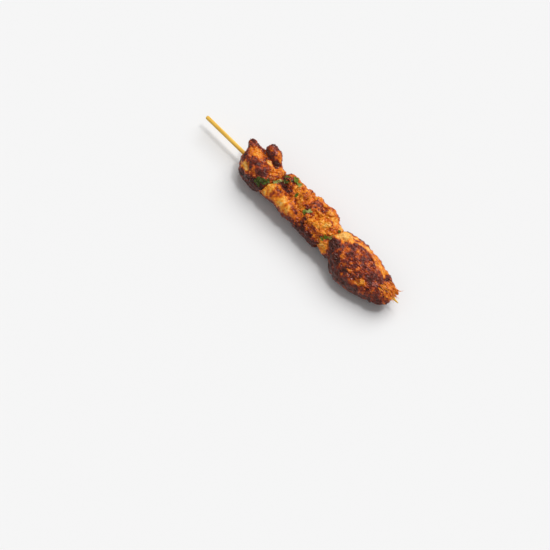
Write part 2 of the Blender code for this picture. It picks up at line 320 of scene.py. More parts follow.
def finish_meat(node, name, spec):
    """Builds one piece: its fine skin, its relief, and the fields that its material reads."""
    mesh = fine_skin(node, voxel, spec["soften"])
    points = mesh_points(mesh)
    normals = mesh_normals(mesh)
    seed = spec["seed"]
    layers = relief_layers(points, spec["grain"], seed)
    browning = cook(points, layers, spec["base"], spec["patches"], seed)
    crust = smooth_step(0.46, 0.70, browning) * spec["crust"]
    smooth = np.zeros(len(points))
    for centre, radii, turn in spec["smooth"]:
        smooth = np.maximum(smooth, patch(points, centre, radii, turn, seed=seed + 60))
    rough = 1.0 - 0.75 * smooth
    height = spec["swell"] * layers["swells"]
    height += spec["ledge"] * (layers["ledges"] - 0.4) * rough
    height += spec["bundle"] * (layers["bundles"] - 0.7) * rough
    height += spec["thread"] * layers["threads"] * rough
    height += GRAIN_HEIGHT * crust * (layers["grains"] - 0.45)
    height += FINE_HEIGHT * layers["fine"] * rough
    height -= spec["crack"] * layers["cracks"] * rough
    folds = FOLD_DEPTH * press_folds(points, spec["folds"])
    height -= folds
    height = np.clip(height, DEEPEST_DENT, spec["stand"])
    moved = points + normals * height[:, None]
    for low, high, side in spec["joins"]:
        facing = smooth_step(0.35, 0.75, side * normals[:, 0])
        inside = (points[:, 0] > low) & (points[:, 0] < high)
        moved[:, 0] += side * JOIN_SWELL * facing * inside
    moved[:, 2] = np.maximum(moved[:, 2], 0.0)
    move_points(mesh, moved)
    # Cracks and folds, for the material to darken: glaze pooled there, and painted crease shade.
    glaze_and_crease_shade = np.clip(layers["cracks"] * rough * 0.8 + folds * 0.45, 0.0, 1.0)
    lift = np.clip(0.5 + 0.5 * layers["grains"] * crust + 0.25 * layers["bundles"] * rough, 0.0, 1.0)
    browning = browning + 0.12 * (lift - 0.6) - 0.05 * layers["swells"]
    browning = browning + 0.10 * (0.5 - layers["ledges"]) * rough
    set_field(mesh, "browning", np.clip(browning, 0.0, 1.0))
    set_field(mesh, "glaze_and_crease_shade", glaze_and_crease_shade)
    set_field(mesh, "crust", np.clip(crust, 0.0, 1.0))
    mesh.shade_smooth()
    piece = bpy.data.objects.new(name, mesh)
    bpy.context.scene.collection.objects.link(piece)
    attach(piece, "root")
    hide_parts(node)
    print(name, len(mesh.polygons), "faces, browning", round(float(browning.mean()), 2))
    return piece


# %% [markdown]
# ## The meat's material
# All three pieces are the same food, so they share one recipe, and the browning field decides the rest.
# A colour ramp runs from pale fat through saffron and orange to red-brown, maroon and black. Fine noise
# shifts the browning a little, as spices do. Cooked chicken lets light in a short way, so subsurface
# is on, with a radius of about a millimetre. Oil and juices lie on top: that is the coat.

# %% Meat material
COOKED_COLOURS = (
    (0.00, (0.900, 0.520, 0.130)),
    (0.12, (0.880, 0.365, 0.032)),
    (0.26, (0.770, 0.208, 0.011)),
    (0.40, (0.540, 0.105, 0.008)),
    (0.54, (0.300, 0.038, 0.010)),
    (0.70, (0.135, 0.015, 0.008)),
    (0.85, (0.050, 0.008, 0.006)),
    (1.00, (0.014, 0.005, 0.004)),
)
BAKED_MARINADE = (0.210, 0.056, 0.036)
MARINADE_SHARE = 0.34     # how far a full crust takes on the colour of the baked marinade


class NodeSheet:
    """Adds nodes to a material and joins them, so that a recipe reads from top to bottom."""

    def __init__(self, name):
        self.material = bpy.data.materials.new(name)
        self.material.use_nodes = True
        self.tree = self.material.node_tree
        self.shader = self.tree.nodes["Principled BSDF"]
        self.coordinates = self.tree.nodes.new("ShaderNodeTexCoord").outputs["Object"]

    def link(self, source, target):
        self.tree.links.new(source, target)

    def attribute(self, name):
        node = self.tree.nodes.new("ShaderNodeAttribute")
        node.attribute_name = name
        return node.outputs["Fac"]

    def noise(self, size_mm, detail=3.0, roughness=0.6, stretch=(1.0, 1.0, 1.0)):
        mapping = self.tree.nodes.new("ShaderNodeMapping")
        mapping.inputs["Scale"].default_value = [1.0 / (size_mm * MM * s) for s in stretch]
        self.link(self.coordinates, mapping.inputs["Vector"])
        node = self.tree.nodes.new("ShaderNodeTexNoise")
        node.inputs["Scale"].default_value = 1.0
        node.inputs["Detail"].default_value = detail
        node.inputs["Roughness"].default_value = roughness
        self.link(mapping.outputs["Vector"], node.inputs["Vector"])
        return node.outputs["Fac"]

    def math(self, operation, first, second):
        node = self.tree.nodes.new("ShaderNodeMath")
        node.operation = operation
        for socket, value in zip(node.inputs, (first, second)):
            if isinstance(value, (int, float)):
                socket.default_value = value
            else:
                self.link(value, socket)
        return node.outputs["Value"]

    def ramp(self, source, stops):
        node = self.tree.nodes.new("ShaderNodeValToRGB")
        ramp = node.color_ramp
        while len(ramp.elements) < len(stops):
            ramp.elements.new(0.5)
        for element, (place, colour) in zip(ramp.elements, stops):
            element.position = place
            element.color = (*colour, 1.0)
        self.link(source, node.inputs["Fac"])
        return node.outputs["Color"]

    def mix(self, factor, first, second, blend="MIX"):
        node = self.tree.nodes.new("ShaderNodeMix")
        node.data_type = "RGBA"
        node.blend_type = blend
        wires = ((node.inputs["Factor"], factor), (node.inputs[6], first), (node.inputs[7], second))
        for socket, value in wires:
            if isinstance(value, (int, float)):
                socket.default_value = value
            elif isinstance(value, tuple):
                socket.default_value = (*value, 1.0)
            else:
                self.link(value, socket)
        return node.outputs[2]

    def remap(self, source, low, high, to_low, to_high):
        node = self.tree.nodes.new("ShaderNodeMapRange")
        node.inputs["From Min"].default_value = low
        node.inputs["From Max"].default_value = high
        node.inputs["To Min"].default_value = to_low
        node.inputs["To Max"].default_value = to_high
        self.link(source, node.inputs["Value"])
        return node.outputs["Result"]

    def bump(self, height, strength, distance_mm):
        node = self.tree.nodes.new("ShaderNodeBump")
        node.inputs["Strength"].default_value = strength
        node.inputs["Distance"].default_value = distance_mm * MM
        self.link(height, node.inputs["Height"])
        self.link(node.outputs["Normal"], self.shader.inputs["Normal"])


def meat_material(name):
    sheet = NodeSheet(name)
    shader = sheet.shader
    browning = sheet.attribute("browning")
    glaze_and_crease_shade = sheet.attribute("glaze_and_crease_shade")
    crust = sheet.attribute("crust")
    spice = sheet.noise(0.9, detail=4.0, roughness=0.7)
    blotch = sheet.noise(3.2, detail=2.0)
    level = sheet.math("ADD", browning, sheet.remap(spice, 0.25, 0.75, -0.07, 0.07))
    level = sheet.math("ADD", level, sheet.remap(blotch, 0.3, 0.7, -0.06, 0.06))
    colour = sheet.ramp(level, COOKED_COLOURS)
    # Cracks and folds are multiplied towards deep red: glaze pooled there, and painted crease shade.
    crease_glaze_and_shade = sheet.mix(sheet.math("MULTIPLY", glaze_and_crease_shade, 0.75), colour, (0.420, 0.060, 0.010), "MULTIPLY")
    colour = sheet.mix(sheet.math("MULTIPLY", glaze_and_crease_shade, 0.55), colour, crease_glaze_and_shade)
    colour = sheet.mix(sheet.math("MULTIPLY", crust, MARINADE_SHARE), colour, BAKED_MARINADE)
    sheet.link(colour, shader.inputs["Base Color"])
    gloss = sheet.noise(1.4, detail=3.0)
    wet = sheet.remap(gloss, 0.3, 0.7, 0.24, 0.42)
    dry = sheet.math("MULTIPLY", crust, 0.06)
    roughness = sheet.math("ADD", wet, dry)
    sheet.link(roughness, shader.inputs["Roughness"])
    shader.inputs["Subsurface Weight"].default_value = 0.12
    shader.inputs["Subsurface Radius"].default_value = (1.0, 0.32, 0.12)
    shader.inputs["Subsurface Scale"].default_value = 1.3 * MM
    shader.inputs["Specular IOR Level"].default_value = 0.14
    shader.inputs["Coat Weight"].default_value = 0.32
    shader.inputs["Coat Roughness"].default_value = 0.12
    shader.inputs["IOR"].default_value = 1.42
    pores = sheet.math("ADD", sheet.noise(0.35, detail=3.0), sheet.noise(0.8, detail=2.0))
    sheet.bump(pores, 0.28, 0.14)
    return sheet.material


meat = meat_material("grilled_chicken")
print("meat colours from pale fat to char:", len(COOKED_COLOURS))

# %% [markdown]
# ## The heel piece, next to the handle
# A strip folded in two. Its ends stick out as two curled ears that seared dark, and between them the
# meat stayed bright orange. On the near side the fold opens and shows a light strip inside.

# %% Heel piece
heel_spec = {
    "seed": 1, "soften": 4, "grain": 38.0, "base": 0.56, "crust": 0.7, "ledge": 0.45,
    "joins": [(-37.0, -20.0, 1.0)],
    "swell": 0.70, "bundle": 0.45, "thread": 0.12, "crack": 0.75, "stand": 0.9,
    "patches": [
        ((-51.5, 5.5, 19.5), (6.5, 3.6, 6.0), 10.0, 0.16, 0.95),
        ((-50.0, -8.8, 18.0), (8.5, 2.4, 5.0), -35.0, 0.06, 0.95),
        ((-31.5, 5.5, 19.0), (7.0, 5.5, 7.0), 20.0, 0.20, 0.9),
        ((-39.5, 6.0, 19.5), (3.0, 1.3, 2.5), 0.0, 0.03, 0.95),
        ((-60.7, 7.5, 18.0), (3.6, 3.6, 4.5), 0.0, 0.60, 0.95),
        ((-44.5, 13.0, 22.5), (4.5, 4.5, 5.0), 0.0, 0.62, 0.95),
        ((-38.0, 13.0, 21.0), (2.2, 4.0, 3.6), 0.0, 0.32, 0.9),
        ((-36.5, 9.0, 19.0), (3.2, 2.6, 4.0), 0.0, 0.88, 0.95),
        ((-42.0, 10.0, 22.0), (3.0, 2.0, 4.0), 0.0, 0.82, 0.8),
        ((-39.0, -1.0, 22.0), (6.0, 4.5, 6.0), 20.0, 0.62, 0.8),
        ((-55.0, -3.5, 19.0), (4.0, 2.4, 5.0), 60.0, 0.74, 0.85),
        # Painted shade: a long dark band along the near, lower side, which faces away from the light.
        ((-38.0, -12.5, 12.5), (17.0, 4.0, 6.5), 0.0, 0.90, 0.95),
        ((-42.0, -8.0, 19.0), (4.0, 2.2, 4.0), -20.0, 0.46, 0.8),
        ((-30.0, -2.0, 21.0), (3.0, 3.6, 5.0), 0.0, 0.34, 0.8),
    ],
    "smooth": [
        ((-40.5, 12.5, 21.5), (7.5, 5.5, 5.5), 0.0),
        ((-40.0, -2.0, 22.0), (7.0, 5.0, 5.0), 10.0),
        ((-50.0, -9.5, 17.0), (8.0, 2.6, 5.0), -35.0),
    ],
    "folds": [
        (((-56.0, -5.0, 19.0), (-51.0, -7.0, 20.0), (-44.0, -10.5, 18.5)), 0.8, 1.0),
        (((-57.0, 2.5, 20.0), (-49.0, 2.2, 21.5), (-41.0, 4.0, 21.5), (-35.0, 2.0, 22.5)), 0.9, 1.1),
        (((-48.0, 8.5, 20.0), (-42.0, 8.2, 20.0), (-36.0, 7.0, 19.5)), 0.9, 0.9),
    ],
}
heel = finish_meat("heel_piece", "heel_meat", heel_spec)
heel.data.materials.append(meat)

# %% [markdown]
# ## The middle piece
# One long strip bunched up on the stick. A smooth roll of meat runs along the near side and keeps a
# bright saffron colour. Beside it the meat is torn and ragged: first a brown cluster where the parsley
# caught, then two glazed knuckles on the far shoulder, then a golden slope with a paler far edge.

# %% Middle piece
middle_spec = {
    "seed": 2, "soften": 4, "grain": 4.0, "base": 0.30, "crust": 0.65, "ledge": 0.60,
    "joins": [(-37.0, -20.0, -1.0), (20.0, 42.0, 1.0)],
    "swell": 0.80, "bundle": 0.60, "thread": 0.16, "crack": 0.90, "stand": 0.9,
    "patches": [
        ((-9.5, -8.5, 18.0), (10.0, 4.4, 8.0), 0.0, 0.21, 0.9),
        ((-11.5, -6.0, 20.0), (4.2, 2.2, 5.0), -20.0, 0.12, 0.9),
        ((-11.0, -10.5, 17.0), (8.0, 1.8, 4.0), 0.0, 0.18, 0.8),
        ((-19.0, -7.5, 18.5), (3.2, 3.8, 6.0), -15.0, 0.50, 0.95),
        ((-25.5, -8.0, 18.0), (4.0, 5.5, 7.0), 0.0, 0.10, 0.95),
        ((-19.0, 5.0, 22.0), (6.0, 4.4, 6.0), 30.0, 0.54, 0.9),
        ((-15.0, 1.2, 21.0), (4.0, 2.2, 5.0), 20.0, 0.78, 0.95),
        ((-20.5, 1.5, 21.0), (3.0, 2.0, 5.0), 0.0, 0.70, 0.9),
        ((-23.5, 8.5, 19.0), (2.6, 3.0, 5.0), 0.0, 0.64, 0.9),
        ((-7.0, 6.5, 22.0), (4.6, 5.5, 6.0), 0.0, 0.24, 0.9),
        ((-1.8, 3.0, 22.0), (3.0, 6.0, 6.0), 0.0, 0.30, 0.9),
        ((0.0, -5.5, 20.0), (5.0, 2.6, 6.0), 0.0, 0.44, 0.85),
        # Painted shade: a long dark band along the near, lower side, which faces away from the light.
        ((-10.0, -14.0, 11.0), (19.0, 3.5, 5.0), 0.0, 0.72, 0.95),
        ((20.0, -1.5, 24.0), (5.0, 5.4, 6.0), 30.0, 0.11, 0.9),
        ((29.0, 0.0, 22.0), (5.0, 5.5, 7.0), 0.0, 0.14, 0.9),
        ((9.0, 7.5, 22.0), (5.0, 4.6, 6.0), 0.0, 0.56, 0.95),
        ((14.5, 8.0, 21.5), (3.4, 3.4, 6.0), 0.0, 0.50, 0.9),
        ((6.0, 2.0, 22.0), (2.6, 3.0, 5.0), 0.0, 0.58, 0.85),
        ((10.3, -7.0, 19.5), (2.2, 4.4, 6.0), -12.0, 0.62, 0.95),
        ((10.0, -1.5, 21.5), (3.0, 2.6, 5.0), 0.0, 0.62, 0.85),
        ((26.0, 10.5, 18.5), (7.0, 4.0, 7.0), 0.0, 0.15, 0.9),
        ((20.0, -8.5, 19.0), (6.0, 2.6, 6.0), 0.0, 0.38, 0.85),
        # Painted shade: a long dark band along the near, lower side, which faces away from the light.
        ((18.0, -12.8, 12.5), (17.0, 3.8, 7.5), 0.0, 0.88, 0.95),
        ((30.0, 3.0, 22.0), (3.0, 2.4, 5.0), 0.0, 0.40, 0.85),
    ],
    "smooth": [((-10.0, -8.5, 18.0), (18.0, 4.2, 7.0), 0.0), ((9.5, 7.0, 22.5), (5.0, 5.0, 5.0), 0.0)],
    "folds": [
        (((-27.0, -2.0, 22.0), (-17.0, -3.0, 22.0), (-6.0, -2.5, 21.5), (5.0, -4.5, 21.5)), 0.9, 1.2),
        (((-4.5, 11.0, 19.0), (-4.0, 5.0, 22.5), (-5.0, -1.5, 22.0)), 0.7, 1.0),
        (((1.5, 10.0, 20.0), (1.2, 3.0, 22.5)), 0.6, 0.8),
        (((-14.0, -1.5, 22.0), (-12.0, 6.0, 21.5), (-13.0, 11.0, 19.0)), 0.7, 0.8),
        (((11.5, 12.0, 18.0), (13.5, 5.0, 22.5), (15.0, -3.0, 22.5)), 0.8, 1.2),
        (((18.0, 5.0, 23.0), (25.0, 3.5, 22.0), (32.0, 4.5, 20.0)), 0.8, 1.0),
        (((8.0, -3.5, 22.0), (11.0, -7.0, 20.5), (12.0, -12.0, 16.0)), 0.9, 1.2),
        (((20.0, -4.5, 22.5), (26.0, -5.5, 21.5), (31.0, -8.0, 18.0)), 0.7, 0.8),
    ],
}
middle = finish_meat("middle_piece", "middle_meat", middle_spec)
middle.data.materials.append(meat)

# %% [markdown]
# ## The end piece
# The biggest piece took the most heat. Its whole top is a grainy maroon crust with two black blisters
# at the inner end, and a saffron margin of fat runs along its far side down to the tip.

# %% End piece
end_spec = {
    "seed": 4, "soften": 4, "grain": 4.0, "base": 0.57, "crust": 1.0, "ledge": 0.45,
    "joins": [(20.0, 42.0, -1.0)],
    "swell": 0.75, "bundle": 0.50, "thread": 0.12, "crack": 0.75, "stand": 0.9,
    "patches": [
        ((43.0, 8.0, 18.5), (10.5, 4.4, 6.0), 24.0, 0.08, 0.95),
        ((37.5, 4.0, 21.0), (5.0, 4.4, 6.0), 50.0, 0.05, 0.95),
        ((40.0, 4.5, 21.5), (4.0, 3.2, 5.0), 30.0, 0.00, 0.95),
        ((48.7, 12.3, 15.6), (7.0, 1.0, 3.0), 22.0, 0.58, 0.85),
        ((63.0, 14.2, 15.0), (9.0, 1.0, 3.0), 2.0, 0.48, 0.7),
        ((57.0, 12.5, 15.5), (10.0, 3.2, 5.5), 4.0, 0.22, 0.95),
        ((72.0, 10.0, 15.5), (11.0, 3.2, 5.5), -8.0, 0.18, 0.95),
        ((82.0, 7.4, 14.5), (2.4, 2.4, 4.0), 0.0, 0.74, 0.95),
        ((33.8, -10.0, 16.5), (5.0, 5.4, 6.5), 0.0, 0.14, 0.95),
        ((40.0, -5.0, 22.0), (4.2, 3.2, 5.0), 20.0, 0.90, 0.95),
        ((47.5, -12.0, 19.5), (5.0, 3.8, 5.0), -20.0, 0.96, 0.95),
        ((58.0, -13.0, 18.5), (3.4, 2.4, 4.0), 0.0, 0.88, 0.85),
        ((54.0, -3.5, 23.5), (5.0, 3.6, 5.0), 10.0, 0.47, 0.85),
        ((60.5, 1.0, 23.5), (6.0, 3.0, 5.0), -10.0, 0.49, 0.8),
        ((72.8, -10.9, 19.0), (4.8, 2.6, 4.5), 15.0, 0.22, 0.95),
        ((62.0, -9.5, 21.0), (3.0, 1.8, 4.0), 10.0, 0.36, 0.8),
        ((81.0, -2.0, 18.5), (7.0, 4.6, 6.0), 0.0, 0.70, 0.85),
        ((90.0, 3.4, 14.5), (6.5, 3.2, 5.0), 0.0, 0.20, 0.95),
        # Painted shade: a long dark band along the near, lower side, which faces away from the light.
        ((66.0, -17.0, 11.5), (25.0, 4.2, 6.5), 0.0, 0.92, 0.95),
        ((84.0, -10.0, 13.0), (10.0, 4.4, 6.0), 10.0, 0.62, 0.85),
        ((90.0, -4.0, 14.0), (5.0, 3.4, 5.0), 0.0, 0.62, 0.85),
        ((66.0, -15.0, 16.0), (7.0, 1.8, 3.0), 6.0, 0.58, 0.8),
    ],
    "smooth": [((66.0, -16.5, 12.0), (24.0, 4.0, 6.5), 0.0), ((58.0, 12.5, 15.0), (24.0, 2.6, 5.5), 0.0)],
    "folds": [
        (((38.0, 0.5, 22.5), (45.0, 5.0, 21.5), (56.0, 8.5, 19.5), (70.0, 6.5, 18.5), (82.0, 4.6, 16.5)),
         0.9, 1.3),
        (((34.5, -6.5, 21.0), (38.0, -10.5, 18.5), (39.5, -14.5, 13.0)), 0.8, 1.2),
        (((62.0, -12.5, 20.5), (72.0, -12.8, 18.5), (80.0, -10.0, 17.5)), 0.8, 0.8),
    ],
}
end = finish_meat("end_piece", "end_meat", end_spec)
end.data.materials.append(meat)

# %% [markdown]
# ## The bamboo stick
# A skewer stick is split from a bamboo wall and pulled through a round die, so fibres run its whole
# length and stand a few hundredths of a millimetre proud. The handle end is sawn off square, and the
# tip is cut to a point that is never quite round. The stick is made ring by ring along its length, and
# the radius at each point comes from the fibre that passes there.

# %% Bamboo stick
STICK_RINGS = 420
STICK_CORNERS = 48
TIP_LENGTH = 8.6
TIP_RADIUS = 0.35


def mesh_from(name, points, faces):
    mesh = bpy.data.meshes.new(name)
    mesh.from_pydata((np.array(points) * MM).tolist(), [], faces)
    mesh.update()
    return mesh


def add_piece(name, mesh, material):
    mesh.materials.append(material)
    piece = bpy.data.objects.new(name, mesh)
    bpy.context.scene.collection.objects.link(piece)
    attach(piece, "root")
    return piece


def tube_faces(rings, corners):
    """Squares between neighbouring rings, and one face to close each end."""
    faces = []
    for ring in range(rings - 1):
        for corner in range(corners):
            following = (corner + 1) % corners
            start = ring * corners
            beyond = start + corners
            faces.append((start + corner, start + following, beyond + following, beyond + corner))
    faces.append(tuple(range(corners))[::-1])
    last = (rings - 1) * corners
    faces.append(tuple(range(last, last + corners)))
    return faces


stick_start = stick_low.x / MM
runs = np.repeat(np.linspace(0.0, 1.0, STICK_RINGS), STICK_CORNERS) * STICK_LENGTH
turns = np.tile(np.arange(STICK_CORNERS) * 2.0 * math.pi / STICK_CORNERS, STICK_RINGS)
ring_shape = np.stack([runs * 0.02, np.cos(turns) * 1.5, np.sin(turns) * 1.5], axis=1)
fibres = field(ring_shape, 0.42, 71, 2)
to_tip = STICK_LENGTH - runs
taper = np.clip(to_tip / TIP_LENGTH, 0.0, 1.0) ** 0.9
facet = 1.0 - 0.10 * (1.0 - taper) * np.abs(np.sin(turns * 2.0))
radius = (STICK_RADIUS - 0.03 + 0.055 * fibres) * taper * facet + TIP_RADIUS * (1.0 - taper)
radius *= 1.0 - 0.16 * np.clip(1.0 - runs / 0.4, 0.0, 1.0) ** 2
stick_points = np.stack([
    stick_start + runs,
    AXIS_Y + radius * np.cos(turns),
    AXIS_Z + radius * np.sin(turns),
], axis=1)
stick_points[:STICK_CORNERS, 0] += 0.10 * fibres[:STICK_CORNERS]
stick_mesh = mesh_from("bamboo_skewer", stick_points, tube_faces(STICK_RINGS, STICK_CORNERS))
stick_mesh.shade_smooth()

wood = NodeSheet("split_bamboo")
grain = wood.noise(0.5, detail=4.0, roughness=0.65, stretch=(70.0, 1.0, 1.0))
wide = wood.noise(2.6, detail=2.0, stretch=(9.0, 1.0, 1.0))
tone = wood.math("ADD", wood.math("MULTIPLY", grain, 0.65), wood.math("MULTIPLY", wide, 0.35))
wood_colour = wood.ramp(tone, (
    (0.30, (0.420, 0.180, 0.025)),
    (0.42, (0.700, 0.360, 0.045)),
    (0.52, (0.870, 0.530, 0.080)),
    (0.66, (0.930, 0.640, 0.150)),
))
wood.link(wood_colour, wood.shader.inputs["Base Color"])
wood.shader.inputs["Roughness"].default_value = 0.50
wood.shader.inputs["Specular IOR Level"].default_value = 0.20
wood.shader.inputs["Subsurface Weight"].default_value = 0.10
wood.shader.inputs["Subsurface Radius"].default_value = (1.0, 0.6, 0.3)
wood.shader.inputs["Subsurface Scale"].default_value = 0.5 * MM
wood.bump(grain, 0.35, 0.12)
stick = add_piece("bamboo_skewer", stick_mesh, wood.material)
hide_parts("bamboo_stick")
print("stick of", len(stick_mesh.polygons), "faces, tip", TIP_LENGTH, "mm long")

# %% [markdown]
# ## Finding the surface again
# Everything sprinkled on top has to lie on the finished meat. A search tree over the three pieces
# answers where the surface is below a point. Loose bits are drawn from the meat's own points, so that a
# rule such as "more on dark crust, none underneath" is one line.

# %% Surface search
all_points = []
all_faces = []
all_normals = []
all_browning = []
for piece in (heel, middle, end):
    first = sum(len(part) for part in all_points)
    all_points.append(mesh_points(piece.data))
    all_normals.append(mesh_normals(piece.data))
    all_faces += [tuple(first + v for v in polygon.vertices) for polygon in piece.data.polygons]
    values = np.empty(len(piece.data.vertices), dtype=np.float32)
    piece.data.attributes["browning"].data.foreach_get("value", values)
    all_browning.append(values)
all_points = np.concatenate(all_points)
all_normals = np.concatenate(all_normals)
all_browning = np.concatenate(all_browning)
surface = BVHTree.FromPolygons(all_points.tolist(), all_faces)


def surface_below(x, y):
    """The point of the meat straight below x, y, or None where there is no meat."""
    return surface.ray_cast(Vector((x, y, 60.0)), Vector((0.0, 0.0, -1.0)))[0]


def broad_normal(place, reach=2.2):
    """The direction the surface faces on average within reach, so that one crack doesn't tip a leaf."""
    near = np.linalg.norm(all_points - np.array(place), axis=1) < reach
    return Vector(all_normals[near].mean(axis=0)).normalized()


def draw_places(chance, count, seed):
    """Picks points of the meat at random, in proportion to a chance given for each."""
    chance = chance / chance.sum()
    return np.random.default_rng(seed).choice(len(all_points), size=count, p=chance)


print("search tree of", len(all_faces), "faces")

# %% [markdown]
# ## Chopped parsley
# A chopped leaf is a torn scrap a few millimetres across with toothed lobes, under 0.2 mm thick. It wilts
# onto hot meat: its middle clings, its edges curl away, and some scraps show their paler underside.
# Each scrap is a small disc of rings whose outline is stretched into lobes, dropped onto the surface
# point by point, and then given thickness with a Solidify modifier.

# %% Parsley
LEAF_RINGS = 7
LEAF_CORNERS = 36
LEAF_THICKNESS = 0.18
LEAF_WIDTH = 0.72         # of its length
LEAF_CLING = 0.78         # how closely a scrap follows the bumps under it
ANY_TURN = 6.28           # radians, a whole turn
leaf_rows = [
    (-35.2, -9.6, 3.4, 0.10), (-33.2, -10.4, 2.6, 0.05), (-31.2, -7.6, 3.4, 0.12), (-29.4, -5.2, 2.3, 0.20),
    (-25.2, -1.6, 2.0, 0.82), (-23.4, 1.2, 1.9, 0.92), (-20.6, 3.4, 2.2, 0.15), (-18.6, 5.4, 2.3, 0.08),
    (-22.2, 6.8, 2.3, 0.45), (-16.2, 10.2, 2.9, 0.62), (-13.4, 10.2, 2.5, 0.72), (-11.2, 8.8, 2.7, 0.92),
    (-7.2, 2.4, 2.0, 0.35), (6.4, -2.2, 2.6, 0.55), (8.6, -0.6, 2.7, 0.88), (8.2, -3.6, 1.8, 0.25),
    (31.0, -4.8, 2.6, 0.50), (34.0, 4.6, 2.6, 0.58), (34.4, -3.2, 2.0, 0.78), (32.2, 6.6, 1.7, 0.35),
    (29.6, -7.2, 1.6, 0.66),
]
luck = np.random.default_rng(11)
leaf_points = []
leaf_faces = []
leaf_tones = []
leaf_veins = []
for x, y, size, tone_value in leaf_rows:
    hit = surface_below(x, y)
    facing = (broad_normal(hit) + Vector((0.0, 0.0, 0.35))).normalized()
    leaning = Vector((math.cos(luck.uniform(0, ANY_TURN)), math.sin(luck.uniform(0, ANY_TURN)), 0.2))
    side = facing.cross(leaning)
    side.normalize()
    other = facing.cross(side)
    lobes = int(luck.integers(2, 5))
    twist = luck.uniform(0, ANY_TURN)
    curl = luck.uniform(0.05, 0.34)
    first = len(leaf_points)
    for ring in range(LEAF_RINGS):
        share = ring / (LEAF_RINGS - 1)
        for corner in range(LEAF_CORNERS):
            angle = 2.0 * math.pi * corner / LEAF_CORNERS
            lobe_shape = abs(math.cos(lobes * angle / 2.0 + twist)) ** 0.6
            teeth = 1.0 + 0.13 * math.cos(angle * 11.0 + twist * 3.0)
            reach = size * (0.34 + 0.66 * lobe_shape * teeth) * (share + 0.02)
            away = hit + side * reach * math.cos(angle) + other * reach * LEAF_WIDTH * math.sin(angle)
            found, _, _, _ = surface.ray_cast(away + facing * 6.0, -facing)
            drop = 0.0 if found is None else float((found - away).dot(facing))
            drop = max(-1.3, min(1.1, drop))
            lift = 0.16 + curl * size * share ** 2 * (0.6 + 0.4 * math.sin(2.0 * angle + twist))
            leaf_points.append(away + facing * (LEAF_CLING * drop + lift))
            leaf_tones.append(tone_value + 0.05 * math.sin(3.0 * angle))
            vein = (0.5 + 0.5 * math.cos(lobes * angle + 2.0 * twist)) ** 14
            leaf_veins.append(vein * (1.0 - 0.5 * share))
    leaf_faces += [tuple(first + v for v in face) for face in tube_faces(LEAF_RINGS, LEAF_CORNERS)[:-1]]

leaf_mesh = mesh_from("parsley", leaf_points, leaf_faces)
set_field(leaf_mesh, "tone", np.array(leaf_tones))
set_field(leaf_mesh, "vein", np.array(leaf_veins))
leaf_mesh.shade_smooth()
leaf = NodeSheet("parsley_leaf")
mottle = leaf.remap(leaf.noise(0.8, detail=3.0), 0.3, 0.7, -0.12, 0.12)
leaf_level = leaf.math("ADD", leaf.attribute("tone"), mottle)
leaf_colour = leaf.ramp(leaf_level, (
    (0.00, (0.032, 0.046, 0.004)),
    (0.30, (0.070, 0.095, 0.007)),
    (0.60, (0.150, 0.200, 0.014)),
    (0.80, (0.270, 0.280, 0.060)),
    (1.00, (0.420, 0.410, 0.170)),
))
vein_share = leaf.math("MULTIPLY", leaf.attribute("vein"), 0.5)
leaf_colour = leaf.mix(vein_share, leaf_colour, (0.300, 0.370, 0.090))
leaf.link(leaf_colour, leaf.shader.inputs["Base Color"])
leaf.shader.inputs["Roughness"].default_value = 0.42
leaf.shader.inputs["Specular IOR Level"].default_value = 0.20
leaf.shader.inputs["Subsurface Weight"].default_value = 0.12
leaf.shader.inputs["Subsurface Radius"].default_value = (0.4, 1.0, 0.2)
leaf.shader.inputs["Subsurface Scale"].default_value = 0.5 * MM
leaf.bump(leaf.noise(0.5, detail=3.0), 0.4, 0.12)
parsley = add_piece("parsley", leaf_mesh, leaf.material)
leaf_body = parsley.modifiers.new("Thickness", "SOLIDIFY")
leaf_body.thickness = LEAF_THICKNESS * MM
leaf_body.offset = 1.0
print(len(leaf_rows), "scraps of parsley,", len(leaf_mesh.polygons), "faces")

# %% [markdown]
# ## Crumbs of char and spice
# Ground spice and burnt marinade sit on the meat as hard grains of 0.3 to 0.9 mm. They give the crust
# its sparkle, because each has its own small facets. All the char crumbs are one mesh and all the
# spice crumbs another, built from one rough little solid that is turned, stretched and set down.

# %% Crumbs
CHAR_CRUMBS = 600
SPICE_CRUMBS = 600
seed_form = bmesh.new()
bmesh.ops.create_icosphere(seed_form, subdivisions=1, radius=1.0)
crumb_corners = np.array([corner.co[:] for corner in seed_form.verts])
crumb_faces = [tuple(corner.index for corner in face.verts) for face in seed_form.faces]
seed_form.free()


def scatter_crumbs(name, places, low, high, sink, seed, material):
    rng = np.random.default_rng(seed)
    points = []
    faces = []
    for place in places:
        size = rng.uniform(low, high) / 2.0
        shape = crumb_corners * rng.uniform(0.55, 1.1, (len(crumb_corners), 1)) * rng.uniform(0.6, 1.2, 3)
        turn = Matrix.Rotation(rng.uniform(0, ANY_TURN), 3, Vector(rng.normal(size=3)))
        centre = all_points[place] + all_normals[place] * size * (1.0 - sink)
        first = len(points) * len(crumb_corners)
        points.append(shape * size @ np.array(turn).T + centre)
        faces += [tuple(first + v for v in face) for face in crumb_faces]
    mesh = mesh_from(name, np.maximum(np.concatenate(points), [-1e3, -1e3, 0.05]), faces)
    return add_piece(name, mesh, material)


def plain_finish(name, colour, roughness):
    finish = bpy.data.materials.new(name)
    finish.use_nodes = True
    shader = finish.node_tree.nodes["Principled BSDF"]
    shader.inputs["Base Color"].default_value = (*colour, 1.0)
    shader.inputs["Roughness"].default_value = roughness
    return finish


